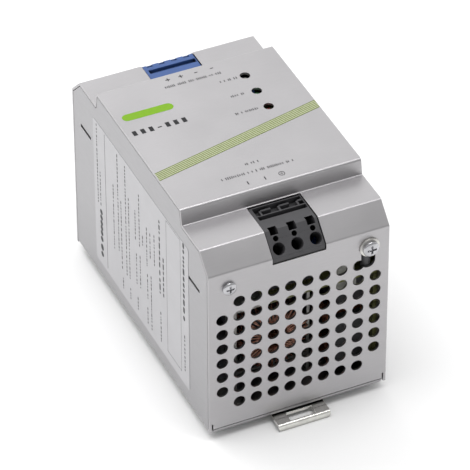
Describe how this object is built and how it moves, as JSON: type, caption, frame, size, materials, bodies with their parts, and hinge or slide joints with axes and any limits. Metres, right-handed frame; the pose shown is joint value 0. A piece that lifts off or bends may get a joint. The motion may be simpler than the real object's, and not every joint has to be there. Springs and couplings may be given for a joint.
{
  "type": "din rail power supply",
  "caption": "Narrow metal-cased power supply for a mounting rail, with perforated ends, spring-clamp terminals on stepped shoulders and a sprung rail foot.",
  "frame": {"origin": "middle of the case's back face, where it bears on the rail", "axes": "+X along the rail, +Y from the input end to the output end (up when mounted on a wall), +Z out of the front face"},
  "size_m": [0.0752, 0.1381, 0.0953],
  "materials": {
    "case_metal": "satin, fine brushed",
    "chassis_metal": "satin, fine brushed",
    "zinc_screw": "bright zinc plated",
    "plated_steel": "nickel plated",
    "clip_steel": "nickel plated spring steel",
    "spring_steel": "drawn wire",
    "rivet_steel": "satin",
    "label_film": "silver-white printed film",
    "block_dark": "moulded polyamide",
    "block_blue": "moulded polyamide",
    "busbar_copper": "tinned copper",
    "clamp_steel": "spring steel",
    "board_green": "solder mask",
    "pin_tin": "tinned",
    "standoff_brass": "machined",
    "insulator": "sheet",
    "fuse_glass": "clear",
    "box_grey": "moulded box",
    "disc_blue": "dipped coat",
    "disc_green": "dipped coat",
    "ferrite": "matt sintered ferrite",
    "enamel_copper": "enamelled copper wire",
    "chip_black": "moulded epoxy",
    "can_navy": "shrink sleeve",
    "sink_aluminium": "extruded",
    "bobbin": "moulded",
    "tape_yellow": "polyester tape",
    "sleeve_black": "heat-shrink",
    "wire_green": "insulated wire",
    "nylon_white": "moulded",
    "trimmer_blue": "moulded",
    "trimmer_white": "moulded",
    "lens_green": "tinted lens",
    "lens_red": "tinted lens"
  },
  "bodies": {
    "case": {"chassis": "chassis_metal", "front_hood": "case_metal", "hood_screws": "zinc_screw", "earth_screw": "zinc_screw", "earth_washer": "plated_steel", "earth_lug": "plated_steel", "earth_nut": "zinc_screw", "earth_sleeve": "sleeve_black", "earth_wire": "wire_green", "rating_label": "label_film", "rail_hooks": "plated_steel", "foot_guides": "plated_steel", "foot_spring": "spring_steel", "chassis_rivets": "rivet_steel", "input_housing": "block_dark", "input_busbars": "busbar_copper", "output_housing": "block_blue", "output_busbars": "busbar_copper", "input_board": "board_green", "output_board": "board_green", "board_links": "nylon_white", "main_board": "board_green", "board_standoffs": "standoff_brass", "board_screws": "zinc_screw", "insulation_sheet": "insulator", "fuse": "fuse_glass", "fuse_clips": "pin_tin", "x_capacitor": "box_grey", "varistor": "disc_blue", "inrush_limiter": "disc_green", "filter_choke_core": "ferrite", "filter_choke_windings": "enamel_copper", "pfc_choke_core": "ferrite", "pfc_choke_winding": "enamel_copper", "pfc_choke_bracket": "plated_steel", "bridge_rectifier": "chip_black", "bulk_capacitors": "can_navy", "control_chips": "chip_black", "mosfet": "chip_black", "primary_heatsink": "sink_aluminium", "transformer_core": "ferrite", "transformer_bobbin": "bobbin", "transformer_winding": "tape_yellow", "output_diodes": "chip_black", "secondary_heatsink": "sink_aluminium", "output_choke": "enamel_copper", "output_capacitors": "can_navy", "indicator_board": "board_green", "trimmer_body": "trimmer_blue", "led_dc_ok": "lens_green", "led_overload": "lens_red"},
    "foot": {"foot_slider": "clip_steel"},
    "trimmer": {"trimmer_rotor": "trimmer_white"},
    "input_clamp_1": {"input_clamp_1": "clamp_steel"},
    "input_clamp_2": {"input_clamp_2": "clamp_steel"},
    "input_clamp_3": {"input_clamp_3": "clamp_steel"},
    "output_clamp_1": {"output_clamp_1": "clamp_steel"},
    "output_clamp_2": {"output_clamp_2": "clamp_steel"},
    "output_clamp_3": {"output_clamp_3": "clamp_steel"},
    "output_clamp_4": {"output_clamp_4": "clamp_steel"}
  },
  "joints": [
    {"name": "foot_slide", "type": "slide", "parent": "case", "child": "foot", "axis": [0, -1, 0], "range_m": [0, 0.005], "stiffness_N_per_m": 1500, "springref_m": -0.003, "deforming": ["foot_spring"]},
    {"name": "trimmer_turn", "type": "hinge", "parent": "case", "child": "trimmer", "pos_m": [0.01965, 0.0263, 0.0845], "axis": [0, 0, 1], "range_deg": [-135, 135]},
    {"name": "input_clamp_1_open", "type": "hinge", "parent": "case", "child": "input_clamp_1", "pos_m": [-0.00729, -0.0586, 0.0664], "axis": [-1, 0, 0], "range_deg": [0, 12], "stiffness_Nm_per_rad": 0.5, "springref_deg": -17.19},
    {"name": "input_clamp_2_open", "type": "hinge", "parent": "case", "child": "input_clamp_2", "pos_m": [0.00036, -0.0586, 0.0664], "axis": [-1, 0, 0], "range_deg": [0, 12], "stiffness_Nm_per_rad": 0.5, "springref_deg": -17.19},
    {"name": "input_clamp_3_open", "type": "hinge", "parent": "case", "child": "input_clamp_3", "pos_m": [0.00801, -0.0586, 0.0664], "axis": [-1, 0, 0], "range_deg": [0, 12], "stiffness_Nm_per_rad": 0.5, "springref_deg": -17.19},
    {"name": "output_clamp_1_open", "type": "hinge", "parent": "case", "child": "output_clamp_1", "pos_m": [-0.00786, 0.0586, 0.0664], "axis": [1, 0, 0], "range_deg": [0, 12], "stiffness_Nm_per_rad": 0.5, "springref_deg": -17.19},
    {"name": "output_clamp_2_open", "type": "hinge", "parent": "case", "child": "output_clamp_2", "pos_m": [-0.00266, 0.0586, 0.0664], "axis": [1, 0, 0], "range_deg": [0, 12], "stiffness_Nm_per_rad": 0.5, "springref_deg": -17.19},
    {"name": "output_clamp_3_open", "type": "hinge", "parent": "case", "child": "output_clamp_3", "pos_m": [0.00266, 0.0586, 0.0664], "axis": [1, 0, 0], "range_deg": [0, 12], "stiffness_Nm_per_rad": 0.5, "springref_deg": -17.19},
    {"name": "output_clamp_4_open", "type": "hinge", "parent": "case", "child": "output_clamp_4", "pos_m": [0.00786, 0.0586, 0.0664], "axis": [1, 0, 0], "range_deg": [0, 12], "stiffness_Nm_per_rad": 0.5, "springref_deg": -17.19}
  ]
}
